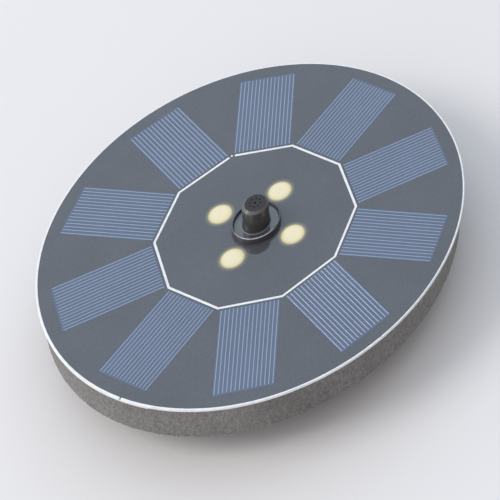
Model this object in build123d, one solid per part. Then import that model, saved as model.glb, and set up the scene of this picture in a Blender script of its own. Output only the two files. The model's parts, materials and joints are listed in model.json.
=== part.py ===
from build123d import *
import math
import os

# Floating solar fountain with its submersible pump.
# Millimetres, +Z up. The origin is the centre of the bottom, on the plane of the strainer's feet.
# The outlet nozzle and the round float share the Z axis. The pump lies underneath, its rotor
# along X, with the inlet at the -X (front) end and the motor bay at the +X (rear) end.

os.makedirs("parts", exist_ok=True)

# ---------------------------------------------------------------- driving dimensions
OVER = 1.0  # how far a cutting tool runs past the surface it cuts

# levels
Z_FACE = 31.0  # top of the solar face
Z_BACK_TOP = Z_FACE - 0.5  # under the laminate
Z_BACK_BOT = Z_BACK_TOP - 1.8  # under the backing plate's thick hub
Z_SHEET_BOT = Z_BACK_TOP - 0.55  # under the same plate outside the hub
Z_TAPE_BOT = Z_SHEET_BOT - 0.5
Z_MOUNT_TOP = Z_BACK_BOT - 0.5  # the gasket fills the gap
Z_MOUNT_BOT = 23.7
Z_FLOOR_TOP = 25.2  # floor of the mount's pocket
Z_LEDGE = 26.2  # ledge that carries the control board
Z_BOARD_TOP = Z_LEDGE + 1.0
Z_FLOAT_BOT = 13.0

# solar face: ten strips round a decagon
N_CELLS = 10
CELL_PITCH = 360 / N_CELLS
CELL_ANG0 = CELL_PITCH / 2  # direction of the first strip
AP_LINE_OUT = 36.4  # apothems of the white decagon line
AP_LINE_IN = 35.4

# ribbons that join the strips, and the leads below them
RIBBON_R = 56.0
RIBBON_HALF = 0.7
Z_RIBBON_BOT = Z_BACK_TOP - 0.17
SOLAR_LEAD_R = 22.0
SOLAR_LEAD_ANGS = (10.0, -10.0)

# lamps
LED_R = 16.2
LED_ANG0 = 24.5
LENS_R = 4.4
LENS_HOLE_R = 4.45

# pump, rotor axis along X
AXIS_Y = -5.6
AXIS_Z = 13.3
PUMP_X0 = -4.4
PUMP_X1 = 22.6
COVER_X0 = -5.8  # front of the cover plate
PUMP_HY = 11.2  # half width
PUMP_HZ = 10.4  # half height
SEAT_R = 9.6
SPIGOT_X = PUMP_X0 + 1.2  # rear of the cover's spigot
CAN_R = 7.2
BORE_R = 1.05
SHAFT_R = 1.0
RISER_R = 4.5
LEAD_PT = (12.0, AXIS_Y)
LEAD_HOLE_R = 2.2
SCREW_PTS = [(6.0, 10.0), (12.0, -21.0)]  # pump to mount
Z_LUG_BOT = Z_MOUNT_BOT - 3.0
COVER_SCREW_R = 0.95  # screw holes
COVER_SCREWS = [(side * 9.6, level * 9.0) for side in (1, -1) for level in (1, -1)]


# ---------------------------------------------------------------- helpers
def block(x0, x1, y0, y1, z0, z1):
    return Pos((x0 + x1) / 2, (y0 + y1) / 2, (z0 + z1) / 2) * Box(x1 - x0, y1 - y0, z1 - z0)


def cyl(r, z0, z1, x=0.0, y=0.0):
    return Pos(x, y, (z0 + z1) / 2) * Cylinder(r, z1 - z0)


def tube(r_out, r_in, z0, z1):
    return cyl(r_out, z0, z1) - cyl(r_in, z0 - OVER, z1 + OVER)


def pump_cyl(r, x0, x1, y=0.0, z=0.0):
    """Cylinder along X, y and z measured from the rotor axis."""
    return Pos((x0 + x1) / 2, AXIS_Y + y, AXIS_Z + z) * Rot(0, 90, 0) * Cylinder(r, x1 - x0)


def pump_tube(r_out, r_in, x0, x1):
    return pump_cyl(r_out, x0, x1) - pump_cyl(r_in, x0 - OVER, x1 + OVER)


def pump_block(x0, x1, y0, y1, z0, z1):
    """Block with y and z measured from the rotor axis."""
    return block(x0, x1, AXIS_Y + y0, AXIS_Y + y1, AXIS_Z + z0, AXIS_Z + z1)


def polar(r, deg, x=0.0, y=0.0):
    """Point at radius r and angle deg round (x, y)."""
    return x + r * math.cos(math.radians(deg)), y + r * math.sin(math.radians(deg))


def turned(points):
    """Solid of revolution about Z from (radius, z) points."""
    return revolve(make_face(Polyline(*[(r, 0, z) for r, z in points], close=True)), Axis.Z)


def prism(points, z0, z1):
    return Pos(0, 0, z0) * extrude(make_face(Polyline(*points, close=True)), z1 - z0)


def corner_r(apothem):
    return apothem / math.cos(math.radians(18))


def decagon(apothem, z0, z1):
    return prism([polar(corner_r(apothem), 36 * k) for k in range(10)], z0, z1)


def sector(a0, a1, z0, z1):
    """Wedge about Z between two angles, reaching past every part it trims."""
    n = max(2, math.ceil((a1 - a0) / 40))
    return prism([(0, 0)] + [polar(120, a0 + (a1 - a0) * i / n) for i in range(n + 1)], z0, z1)


def joined(shapes):
    total, *rest = shapes
    for shape in rest:
        total = total + shape
    return total


def save(name, shape):
    solids = shape.solids()
    if len(solids) == 1:
        body = solids[0]
    else:
        body = Compound(children=[Solid(s.wrapped) for s in solids])
    body.label = name
    export_step(body, f"parts/{name}.step")


LED_PTS = [polar(LED_R, LED_ANG0 + 90 * k) for k in range(4)]
LEAD_HOLES = [polar(SOLAR_LEAD_R, angle) for angle in SOLAR_LEAD_ANGS]

# ---------------------------------------------------------------- backing plate
# white: its thin lip edges the face, its ridge is the decagon line
RIM_R = 80.0  # the overall diameter is 160
LIP_IN_R = 78.9  # inner end of the cuts across the lip
HUB_R = 37.4
GROOVE = 0.2  # depth of the ribbon grooves
Z_RIDGE = Z_FACE - 0.02
DOT_PT = polar(corner_r((AP_LINE_IN + AP_LINE_OUT) / 2), 72.0)  # small dot at a decagon corner

backing = cyl(RIM_R, Z_SHEET_BOT, Z_FACE)
backing = fillet(backing.edges().sort_by(Axis.Z)[-1:], 0.3)
backing = fillet(backing.edges().sort_by(Axis.Z)[:1], 0.15)
backing += cyl(HUB_R, Z_BACK_BOT, Z_SHEET_BOT)
backing -= cyl(79.3, Z_BACK_TOP, Z_FACE + OVER)  # pocket for the face
ridge = decagon(AP_LINE_OUT - 0.05, Z_BACK_TOP, Z_RIDGE)
ridge -= decagon(AP_LINE_IN + 0.05, Z_BACK_TOP - OVER, Z_FACE + OVER)
ridge -= cyl(1.15, Z_BACK_TOP, Z_FACE + OVER, *DOT_PT)
ridge += cyl(0.42, Z_BACK_TOP, Z_RIDGE, *DOT_PT)
backing += ridge
backing -= cyl(RISER_R + 0.1, Z_BACK_BOT - OVER, Z_FACE + OVER)
for x, y in LED_PTS:
    backing -= cyl(LENS_HOLE_R, Z_BACK_BOT - OVER, Z_FACE + OVER, x, y)
# ribbon grooves and the two lead holes
backing -= tube(RIBBON_R + 1.2, RIBBON_R - 1.2, Z_BACK_TOP - GROOVE, Z_BACK_TOP)
for angle, (x, y) in zip(SOLAR_LEAD_ANGS, LEAD_HOLES):
    groove = block(SOLAR_LEAD_R, RIBBON_R, -1.0, 1.0, Z_BACK_TOP - GROOVE, Z_BACK_TOP)
    backing -= Rot(0, 0, angle) * groove
    backing -= cyl(1.2, Z_BACK_BOT - OVER, Z_BACK_TOP, x, y)
# thumb notch and fine seam in the lip: angle, half width, depth
for angle, half, depth in ((201.0, 0.35, 0.8), (272.0, 0.13, 0.4)):
    cut = block(LIP_IN_R, RIM_R + OVER, -half, half, Z_FACE - depth, Z_FACE + OVER)
    backing -= Rot(0, 0, angle) * cut
save("backing_plate", backing)

# ---------------------------------------------------------------- solar face
CELL_W = 22.1
CELL_L = 37.1
CELL_R0 = 37.05  # inner end of a strip


def strip(k, gap=0.0, over=0.0):
    """Strip k, grown by gap in plan and by over in height."""
    half = CELL_W / 2 + gap
    body = block(
        CELL_R0 - gap, CELL_R0 + CELL_L + gap, -half, half, Z_BACK_TOP - over, Z_FACE + over
    )
    return Rot(0, 0, CELL_ANG0 + CELL_PITCH * k) * body


# dark outer face with a window for each strip and a patch round the dot
outer = cyl(79.25, Z_BACK_TOP, Z_FACE)
outer -= decagon(AP_LINE_OUT, Z_BACK_TOP - OVER, Z_FACE + OVER)
patch = cyl(1.1, Z_BACK_TOP, Z_FACE, *DOT_PT) & decagon(AP_LINE_OUT + 0.2, Z_BACK_TOP, Z_FACE)
patch -= decagon(AP_LINE_IN + 0.03, Z_BACK_TOP - OVER, Z_FACE + OVER)
patch -= cyl(0.47, Z_BACK_TOP - OVER, Z_FACE + OVER, *DOT_PT)
outer += patch
for k in range(N_CELLS):
    outer -= strip(k, gap=0.05, over=OVER)
save("outer_face", outer)

# dark ten-sided centre face
center = decagon(AP_LINE_IN, Z_BACK_TOP, Z_FACE)
center -= cyl(RISER_R + 0.2, Z_BACK_TOP - OVER, Z_FACE + OVER)
for x, y in LED_PTS:
    center -= cyl(LENS_HOLE_R, Z_BACK_TOP - OVER, Z_FACE + OVER, x, y)
save("center_face", center)

for k in range(N_CELLS):
    save(f"solar_cell_{k + 1:02d}", strip(k))

# tinned ribbons: nine arcs that join the strips in series, and two that run in to the leads
Z_RIBBON_TOP = Z_BACK_TOP - 0.02
ribbons = []
for k in range(N_CELLS - 1):
    start = CELL_ANG0 + CELL_PITCH * k + 3
    arc = tube(RIBBON_R + RIBBON_HALF, RIBBON_R - RIBBON_HALF, Z_RIBBON_BOT, Z_RIBBON_TOP)
    ribbons.append(arc & sector(start, start + 30, Z_RIBBON_BOT - OVER, Z_RIBBON_BOT + 2))
for angle in SOLAR_LEAD_ANGS:
    run = block(
        SOLAR_LEAD_R - 0.4, RIBBON_R - 0.4, -RIBBON_HALF, RIBBON_HALF, Z_RIBBON_BOT, Z_RIBBON_TOP
    )
    ribbons.append(Rot(0, 0, angle) * run)
save("cell_ribbons", joined(ribbons))
save("solar_leads", joined(cyl(0.45, Z_BOARD_TOP, Z_RIBBON_BOT, x, y) for x, y in LEAD_HOLES))

# ---------------------------------------------------------------- lamps
LENS_DOME = 0.65  # height of the dome above the face
DOME_R = (LENS_R**2 + LENS_DOME**2) / (2 * LENS_DOME)

for i, (x, y) in enumerate(LED_PTS):
    lens = cyl(LENS_R, Z_BOARD_TOP, Z_FACE + 2, x, y)
    lens &= Pos(x, y, Z_FACE + LENS_DOME - DOME_R) * Sphere(DOME_R)
    lens += cyl(4.9, Z_BOARD_TOP, Z_BOARD_TOP + 1.0, x, y)  # flange
    lens -= cyl(2.3, Z_BOARD_TOP - OVER, Z_BOARD_TOP + 1.4, x, y)  # room for the chip
    save(f"led_lens_{i + 1}", lens)


def on_board(x, y, half_x, half_y, height):
    """Block standing on the control board, centred on (x, y)."""
    return block(
        x - half_x, x + half_x, y - half_y, y + half_y, Z_BOARD_TOP, Z_BOARD_TOP + height
    )


save("led_chips", joined(on_board(x, y, 1.5, 1.5, 0.8) for x, y in LED_PTS))

# ---------------------------------------------------------------- control board
board = tube(24.0, 9.0, Z_LEDGE, Z_BOARD_TOP)
for x, y in SCREW_PTS:
    board -= cyl(2.8, Z_LEDGE - OVER, Z_BOARD_TOP + OVER, x, y)
save("control_board", board)

# centres of the small chip parts
SMALL_PARTS = [
    (-10.5, -15.5), (-10.5, -13.8), (0.8, -15.6), (0.8, -17.4), (-13.5, 2.2),
    (-13.5, 0.6), (1.5, 17.5), (4.5, 17.5), (14.5, 14.0),
]
parts = [
    on_board(-4.0, -16.8, 2.5, 2.0, 1.0),  # controller
    on_board(-17.5, 2.0, 2.0, 2.0, 1.2),  # inductor
    on_board(-11.7, 6.3, 1.3, 0.8, 0.7),  # diode
]
parts += [on_board(x, y, 0.8, 0.4, 0.5) for x, y in SMALL_PARTS]
parts.append(cyl(1.6, Z_BOARD_TOP, Z_BOARD_TOP + 1.2, 10.0, 16.5))  # capacitor
save("board_components", joined(parts))

# ---------------------------------------------------------------- pump mount
MOUNT_R = 31.0

save("mount_gasket", tube(30.5, 25.2, Z_MOUNT_TOP, Z_BACK_BOT))

mount = cyl(MOUNT_R, Z_MOUNT_BOT, Z_MOUNT_TOP)
mount += tube(MOUNT_R, 29.2, 19.7, Z_MOUNT_BOT)  # skirt
mount -= cyl(22.0, Z_FLOOR_TOP, Z_LEDGE)  # pocket below the board
mount -= cyl(24.2, Z_LEDGE, Z_MOUNT_TOP + OVER)  # wider pocket for the board
mount += cyl(7.0, Z_FLOOR_TOP, Z_BACK_BOT)  # boss round the riser
for x, y in SCREW_PTS:
    mount += cyl(2.6, Z_MOUNT_BOT, 27.9, x, y)
mount -= cyl(RISER_R + 0.1, Z_MOUNT_BOT - OVER, Z_BACK_BOT + OVER)
for x, y in SCREW_PTS:
    mount -= cyl(1.05, Z_MOUNT_BOT - OVER, 27.5, x, y)  # pilot hole
mount -= cyl(LEAD_HOLE_R, Z_MOUNT_BOT - OVER, Z_FLOOR_TOP + 0.5, *LEAD_PT)
lowest_circles = mount.edges().filter_by(GeomType.CIRCLE).group_by(Axis.Z)[0]
mount = chamfer(lowest_circles.sort_by(SortBy.RADIUS)[-1:], 0.5)
save("pump_mount", mount)

# ---------------------------------------------------------------- foam float
FOAM_IN_R = 37.8
FOAM_TOP_R = 78.5
FOAM_BOT_R = 78.0
TAPE_A0, TAPE_A1 = 100.0, 209.5  # span of the first length of tape
BUTT = 0.15  # each side of a tape joint, in degrees

# white double-sided tape between plate and foam: the first length is nearly flush with the
# lip, the second is set back behind the foam's edge
TAPE_CUT = (Z_TAPE_BOT - OVER, Z_SHEET_BOT + OVER)
first_tape = tube(79.8, FOAM_IN_R, Z_TAPE_BOT, Z_SHEET_BOT)
first_tape &= sector(TAPE_A0 + BUTT, TAPE_A1 - BUTT, *TAPE_CUT)
second_tape = tube(78.3, FOAM_IN_R, Z_TAPE_BOT, Z_SHEET_BOT)
second_tape -= sector(TAPE_A0 - BUTT, TAPE_A1 + BUTT, *TAPE_CUT)
save("float_tape", first_tape + second_tape)

# (radius, z)
FOAM_PROFILE = [
    (FOAM_IN_R, Z_FLOAT_BOT),
    (FOAM_BOT_R - 0.9, Z_FLOAT_BOT),
    (FOAM_BOT_R - 0.35, Z_FLOAT_BOT + 0.15),
    (FOAM_BOT_R - 0.08, Z_FLOAT_BOT + 0.45),
    (FOAM_BOT_R, Z_FLOAT_BOT + 1.0),
    (FOAM_TOP_R, Z_TAPE_BOT),
    (FOAM_IN_R, Z_TAPE_BOT),
]
save("float_ring", turned(FOAM_PROFILE))

# ---------------------------------------------------------------- pump housing
# front pumping chamber, thin can round the rotor, dry motor bay behind, outlet riser on top
LUG_R = 3.2
LUG_SPANS = ((5.0, 10.0), (-21.0, -16.0))  # y range of the web that ties each lug in

housing = pump_block(PUMP_X0, PUMP_X1, -PUMP_HY, PUMP_HY, -PUMP_HZ, PUMP_HZ)
housing = fillet(housing.edges().filter_by(Axis.X), 1.5)
for (x, y), (y0, y1) in zip(SCREW_PTS, LUG_SPANS):
    housing += cyl(LUG_R, Z_LUG_BOT, Z_MOUNT_BOT, x, y)
    housing += block(x - LUG_R, x + LUG_R, y0, y1, Z_LUG_BOT, Z_MOUNT_BOT)
housing += cyl(RISER_R, Z_MOUNT_BOT, Z_FACE - 0.1)
riser_foot = cyl(RISER_R, Z_MOUNT_BOT - 2, Z_MOUNT_BOT)
housing += riser_foot & pump_block(PUMP_X0, 10, 0, 12, 5, PUMP_HZ)
housing -= pump_cyl(SEAT_R, PUMP_X0 - OVER, PUMP_X0 + 1.5)  # cover seat
housing -= pump_cyl(8.4, PUMP_X0, 2.6)  # pumping chamber
bay = pump_block(4.2, PUMP_X1 + OVER, -9.7, 9.7, -8.8, 9.4) - pump_cyl(CAN_R, 0.0, 14.0)
housing -= bay
housing -= pump_cyl(6.2, 2.0, 13.0)  # rotor well
housing += pump_tube(3.5, 2.55, 11.7, 13.0)  # socket for the rear bush
housing -= cyl(2.5, AXIS_Z, 22.5)  # outlet
housing -= cyl(3.0, 22.0, Z_FACE + OVER)  # nozzle socket
for x, y in SCREW_PTS:
    housing -= cyl(1.35, Z_LUG_BOT - OVER, Z_MOUNT_BOT + OVER, x, y)
housing -= cyl(LEAD_HOLE_R, AXIS_Z + 9.0, Z_MOUNT_BOT + OVER, *LEAD_PT)
for y, z in COVER_SCREWS:
    housing -= pump_cyl(COVER_SCREW_R, PUMP_X0 - OVER, 1.5, y, z)
save("pump_housing", housing)

# ---------------------------------------------------------------- front cover and screws
cover = pump_block(COVER_X0, PUMP_X0, -PUMP_HY, PUMP_HY, -PUMP_HZ, PUMP_HZ)
cover = fillet(cover.edges().filter_by(Axis.X), 1.5)
cover += pump_cyl(SEAT_R - 0.1, PUMP_X0, SPIGOT_X)
cover += pump_cyl(4.8, -8.0, COVER_X0)  # inlet neck
cover -= pump_cyl(3.6, -9.0, 0.0)  # inlet eye
cover += pump_cyl(2.3, COVER_X0, SPIGOT_X)  # bush holder, on three spokes
for angle in (90, 210, 330):
    y, z = polar(2.9, angle, AXIS_Y, AXIS_Z)
    cover += Pos(-4.6, y, z) * Rot(angle, 0, 0) * Box(1.6, 2.0, 0.9)
cover -= pump_cyl(1.55, -5.4, 0.0)
for y, z in COVER_SCREWS:
    cover -= pump_cyl(COVER_SCREW_R, -6.5, PUMP_X0 + 0.5, y, z)
save("volute_cover", cover)

save("cover_gasket", pump_tube(SEAT_R - 0.1, 8.5, SPIGOT_X, PUMP_X0 + 1.5))


def cover_screw(y, z):
    screw = pump_cyl(1.35, -6.9, COVER_X0, y, z) + pump_cyl(0.9, COVER_X0, 1.2, y, z)
    for half_y, half_z in ((0.9, 0.18), (0.18, 0.9)):  # cross slot
        screw -= pump_block(-7.0, -6.5, y - half_y, y + half_y, z - half_z, z + half_z)
    return screw


def pump_screw(x, y):
    screw = cyl(2.4, Z_LUG_BOT - 1.6, Z_LUG_BOT, x, y) + cyl(1.0, Z_LUG_BOT, 27.0, x, y)
    for half_x, half_y in ((1.5, 0.3), (0.3, 1.5)):  # cross slot
        screw -= block(
            x - half_x, x + half_x, y - half_y, y + half_y, Z_LUG_BOT - 1.7, Z_LUG_BOT - 0.9
        )
    return screw


save("cover_screws", joined(cover_screw(y, z) for y, z in COVER_SCREWS))
save("pump_screws", joined(pump_screw(x, y) for x, y in SCREW_PTS))

# ---------------------------------------------------------------- motor
# U-shaped core, its poles hugging the can, one coil on the yoke behind
poles = pump_block(4.6, 13.8, -9.4, 9.4, -4.0, 4.0) - pump_cyl(CAN_R + 0.1, 4.0, 14.0)
yoke = pump_block(13.8, 19.1, -9.4, 9.4, -4.0, 4.0)
yoke -= pump_block(13.0, 16.9, -7.4, 7.4, -5.0, 5.0)
save("stator_core", poles + yoke)

bobbin = pump_block(16.3, 19.7, -6.3, 6.3, -4.6, 4.6)
flanges = pump_block(15.0, 21.0, 5.5, 6.3, -7.0, 7.0)
flanges += pump_block(15.0, 21.0, -6.3, -5.5, -7.0, 7.0)
bobbin += flanges
bobbin -= pump_block(16.85, 19.15, -8.0, 8.0, -4.05, 4.05)
save("coil_bobbin", bobbin)

winding = pump_block(15.2, 20.8, -5.45, 5.45, -6.6, 6.6)
winding = fillet(winding.edges().filter_by(Axis.Y), 0.9)
winding -= pump_block(16.25, 19.75, -8.0, 8.0, -4.65, 4.65)
save("stator_winding", winding)

# driver board above the can
DRIVER_TOP = 8.2  # above the rotor axis
save("driver_board", pump_block(5.0, 14.5, -6.5, 6.5, 7.4, DRIVER_TOP))
# x0, x1, y0, y1, top; the first is the switch
DRIVER_PARTS = [
    (6.0, 8.6, -5.0, -1.6, 9.0), (6.2, 8.2, 2.0, 4.0, 9.1),
    (12.6, 13.8, -5.6, -4.8, 8.7), (12.6, 13.8, 4.8, 5.6, 8.7),
]
parts = [pump_block(*plan, DRIVER_TOP, top) for *plan, top in DRIVER_PARTS]
save("driver_components", joined(parts))

save("potting_plug", pump_block(21.3, 22.5, -9.68, 9.68, -8.78, 9.38))

# shaft and bearings
save("rotor_shaft", pump_cyl(SHAFT_R, -5.2, 12.8))
save("front_bush", pump_tube(1.5, SHAFT_R + 0.01, -5.3, -3.4))
save("rear_bush", pump_tube(2.5, SHAFT_R + 0.01, 11.75, 12.95))
WASHER_SPANS = ((11.4, 11.6), (-3.1, -2.75))
washers = [pump_tube(2.2, BORE_R + 0.02, x0, x1) for x0, x1 in WASHER_SPANS]
save("thrust_washers", joined(washers))

# three leads up to the control board, through a grommet
WIRE_PTS = [polar(1.05, angle, *LEAD_PT) for angle in (90, 210, 330)]
save("pump_leads", joined(cyl(0.45, AXIS_Z + DRIVER_TOP, Z_LEDGE, x, y) for x, y in WIRE_PTS))
grommet = cyl(2.15, Z_MOUNT_BOT - 0.9, Z_FLOOR_TOP + 0.2, *LEAD_PT)
for x, y in WIRE_PTS:
    grommet -= cyl(0.47, Z_MOUNT_BOT - 2, Z_FLOOR_TOP + OVER, x, y)
save("lead_grommet", grommet)

# ---------------------------------------------------------------- rotor
# open impeller: back shroud, swept blades, hub and long sleeve that carries the magnet
N_BLADES = 6
BLADE_X0 = -2.6
BLADE_HALF = 0.42  # half thickness
BLADE_ROOT_R = 2.1
BLADE_SPAN = 5.3
BLADE_SWEEP = -38.0  # degrees from root to tip
BLADE_STEPS = 6

impeller = pump_cyl(7.6, 1.2, 2.2)
impeller += pump_cyl(2.4, BLADE_X0, 1.3)
impeller += pump_cyl(1.9, 2.0, 11.3)
flanks = []
for half in (BLADE_HALF, -BLADE_HALF):
    flank = []
    for i in range(BLADE_STEPS + 1):
        t = i / BLADE_STEPS
        r = BLADE_ROOT_R + t * BLADE_SPAN
        flank.append(polar(r, BLADE_SWEEP * t + math.degrees(half / r)))
    flanks.append(flank)
outline = flanks[0] + flanks[1][::-1]
# the blade outline lies in the plane across the rotor axis
blade_face = make_face(Polyline(*[(0, y, z) for y, z in outline], close=True))
blade = Pos(BLADE_X0, AXIS_Y, AXIS_Z) * extrude(blade_face, 3.9, dir=(1, 0, 0))
rotor_axis = Axis((0, AXIS_Y, AXIS_Z), (1, 0, 0))
for k in range(N_BLADES):
    impeller += blade.rotate(rotor_axis, 360 / N_BLADES * k)
impeller -= pump_cyl(BORE_R, -5.0, 13.0)
save("impeller", impeller)

magnet = pump_tube(5.7, 1.92, 3.2, 11.0)
outer_rims = magnet.edges().filter_by(GeomType.CIRCLE).sort_by(SortBy.RADIUS)[-2:]
save("rotor_magnet", chamfer(outer_rims, 0.3))

# ---------------------------------------------------------------- nozzle
Z_NOZ_TOP = 43.0
Z_SPIGOT = 22.4
SPIGOT_R = 2.95
FLANGE_R = 9.25
Z_COLLAR = Z_FACE + 2.6  # top of the thin raised collar round the flange
NOZ_BOT_R = 5.1
NOZ_TOP_R = 5.0
CAP_R = 3.9
Z_CAP_SEAT = Z_NOZ_TOP - 0.7

# (radius, z): up the outside from the spigot, then down the bore
NOZZLE_PROFILE = [
    (1.9, Z_SPIGOT), (SPIGOT_R - 0.35, Z_SPIGOT), (SPIGOT_R, Z_SPIGOT + 0.5),
    (SPIGOT_R, 25.2), (2.45, 25.2), (2.45, 26.8), (SPIGOT_R, 26.8),  # seal groove
    (SPIGOT_R, Z_FACE), (FLANGE_R - 0.2, Z_FACE), (FLANGE_R, Z_FACE + 0.2),
    (FLANGE_R, Z_COLLAR - 0.28), (FLANGE_R - 0.08, Z_COLLAR - 0.08),
    (FLANGE_R - 0.28, Z_COLLAR), (FLANGE_R - 0.5, Z_COLLAR - 0.07),
    (FLANGE_R - 0.62, Z_COLLAR - 0.3), (FLANGE_R - 0.72, Z_FACE + 1.5),
    (FLANGE_R - 1.0, Z_FACE + 1.05), (FLANGE_R - 1.5, Z_FACE + 0.9),
    (NOZ_BOT_R + 0.65, Z_FACE + 0.9), (NOZ_BOT_R + 0.18, Z_FACE + 1.1),
    (NOZ_BOT_R, Z_FACE + 1.6), (NOZ_TOP_R, Z_NOZ_TOP - 1.0),
    (NOZ_TOP_R - 0.12, Z_NOZ_TOP - 0.82), (CAP_R + 0.1, Z_NOZ_TOP),
    (CAP_R + 0.05, Z_NOZ_TOP), (CAP_R + 0.05, Z_CAP_SEAT),
    (3.3, Z_CAP_SEAT), (3.3, 37.0), (1.9, 35.4),
]
save("nozzle_body", turned(NOZZLE_PROFILE))
save("nozzle_seal", tube(2.98, 2.47, 25.4, 26.6))

# spray cap: push-in plug with one centre hole and a ring of eight
# (radius, z)
CAP_PROFILE = [
    (0.0, 41.0), (3.05, 41.0), (3.26, 41.3), (3.26, Z_CAP_SEAT), (CAP_R, Z_CAP_SEAT),
    (CAP_R, Z_NOZ_TOP - 0.05), (CAP_R - 0.15, Z_NOZ_TOP + 0.1), (0.0, Z_NOZ_TOP + 0.1),
]
cap = turned(CAP_PROFILE)
cap -= cyl(2.7, 40.0, 42.1)  # hollow underside
cap -= cyl(0.45, 40.0, 44.0)
for k in range(8):
    cap -= cyl(0.32, 40.0, 44.0, *polar(2.1, 45 * k))
save("spray_cap", cap)

# ---------------------------------------------------------------- strainer
CUP_R = 33.0
CUP_IN_R = 31.08
Z_CUP_BOT = 1.0
Z_CUP_FLOOR = Z_CUP_BOT + 1.4
Z_CUP_TOP = 26.5
N_SLOTS = 40
SLOT_HALF = 0.8
SLOT_Z = (4.2, 16.4)  # centres of a slot's round ends
FLOOR_HALF = 0.9
FLOOR_SLOT_R = (10.0, 23.5)  # centres of a floor slot's round ends

# (radius, z)
CUP_PROFILE = [
    (0.0, Z_CUP_BOT), (31.6, Z_CUP_BOT), (32.6, Z_CUP_BOT + 0.4), (CUP_R, Z_CUP_FLOOR),
    (CUP_R, 24.6), (34.2, 25.1), (34.4, 25.4), (34.4, 26.2), (34.1, Z_CUP_TOP),
    (31.3, Z_CUP_TOP), (CUP_IN_R, 26.2), (CUP_IN_R, Z_CUP_BOT + 1.9),
    (30.6, Z_CUP_FLOOR), (0.0, Z_CUP_FLOOR),
]
cup = turned(CUP_PROFILE)
for k in range(N_SLOTS):
    if k % 10 in (4, 5):
        continue  # four plain pillars between the groups of slots
    slot = block(29.0, 36.0, -SLOT_HALF, SLOT_HALF, *SLOT_Z)
    for z in SLOT_Z:
        slot += Pos(32.5, 0, z) * Rot(0, 90, 0) * Cylinder(SLOT_HALF, 7.0)
    cup -= Rot(0, 0, 360.0 / N_SLOTS * (k + 0.5)) * slot
for k in range(12):
    slot = block(*FLOOR_SLOT_R, -FLOOR_HALF, FLOOR_HALF, 0.0, 4.0)
    for x in FLOOR_SLOT_R:
        slot += cyl(FLOOR_HALF, 0.0, 4.0, x)
    cup -= Rot(0, 0, 30.0 * k + 15) * slot
# four arc feet under the floor
feet_ring = tube(31.0, 27.0, 0.0, Z_CUP_BOT + 0.2)
for k in range(4):
    cup += feet_ring & sector(90.0 * k - 20, 90.0 * k + 20, -1, 4)
save("strainer_cup", cup)

save("filter_sponge", tube(30.95, 28.7, 3.0, 18.5))
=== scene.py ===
import json
import math

import bpy
import bmesh
from mathutils import Matrix, Vector, noise

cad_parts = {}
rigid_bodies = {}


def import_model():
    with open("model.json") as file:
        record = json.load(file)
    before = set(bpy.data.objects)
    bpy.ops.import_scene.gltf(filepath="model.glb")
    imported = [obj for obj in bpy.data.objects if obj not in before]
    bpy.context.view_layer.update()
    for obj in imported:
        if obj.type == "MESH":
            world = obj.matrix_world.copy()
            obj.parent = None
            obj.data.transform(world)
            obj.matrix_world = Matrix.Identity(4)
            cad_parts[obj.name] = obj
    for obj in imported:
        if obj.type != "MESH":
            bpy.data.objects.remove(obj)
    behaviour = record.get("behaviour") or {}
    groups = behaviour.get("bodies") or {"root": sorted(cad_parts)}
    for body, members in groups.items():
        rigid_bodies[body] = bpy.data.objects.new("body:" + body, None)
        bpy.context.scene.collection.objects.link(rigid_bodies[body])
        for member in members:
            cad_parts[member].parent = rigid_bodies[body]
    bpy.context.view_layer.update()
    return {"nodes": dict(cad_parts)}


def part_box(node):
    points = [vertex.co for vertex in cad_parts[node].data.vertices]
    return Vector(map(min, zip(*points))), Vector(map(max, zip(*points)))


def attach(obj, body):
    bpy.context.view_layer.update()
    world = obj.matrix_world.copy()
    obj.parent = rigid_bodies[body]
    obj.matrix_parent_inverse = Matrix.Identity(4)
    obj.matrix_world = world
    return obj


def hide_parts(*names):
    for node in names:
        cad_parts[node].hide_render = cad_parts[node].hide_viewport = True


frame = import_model()
N = frame["nodes"]
MM = 0.001

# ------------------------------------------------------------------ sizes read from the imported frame
face_lo, face_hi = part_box("outer_face")
FACE_Z = face_hi.z
cell_lo, cell_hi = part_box("solar_cell_03")  # the strip that points along +Y
CELL_W = cell_hi.x - cell_lo.x
CELL_R0, CELL_R1 = cell_lo.y, cell_hi.y
CELL_DIRS = [18.0 + 36.0 * k for k in range(10)]
NOZ_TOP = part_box("nozzle_body")[1].z
LEDS = []
for k in range(1, 5):
    lo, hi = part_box(f"led_lens_{k}")
    LEDS.append(((lo.x + hi.x) / 2, (lo.y + hi.y) / 2))


HIGHLIGHT_SIDE = (math.sin(math.radians(-40.0)), -math.cos(math.radians(-40.0)))  # side of the collar facing the camera, where the painted highlight arc goes
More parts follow.
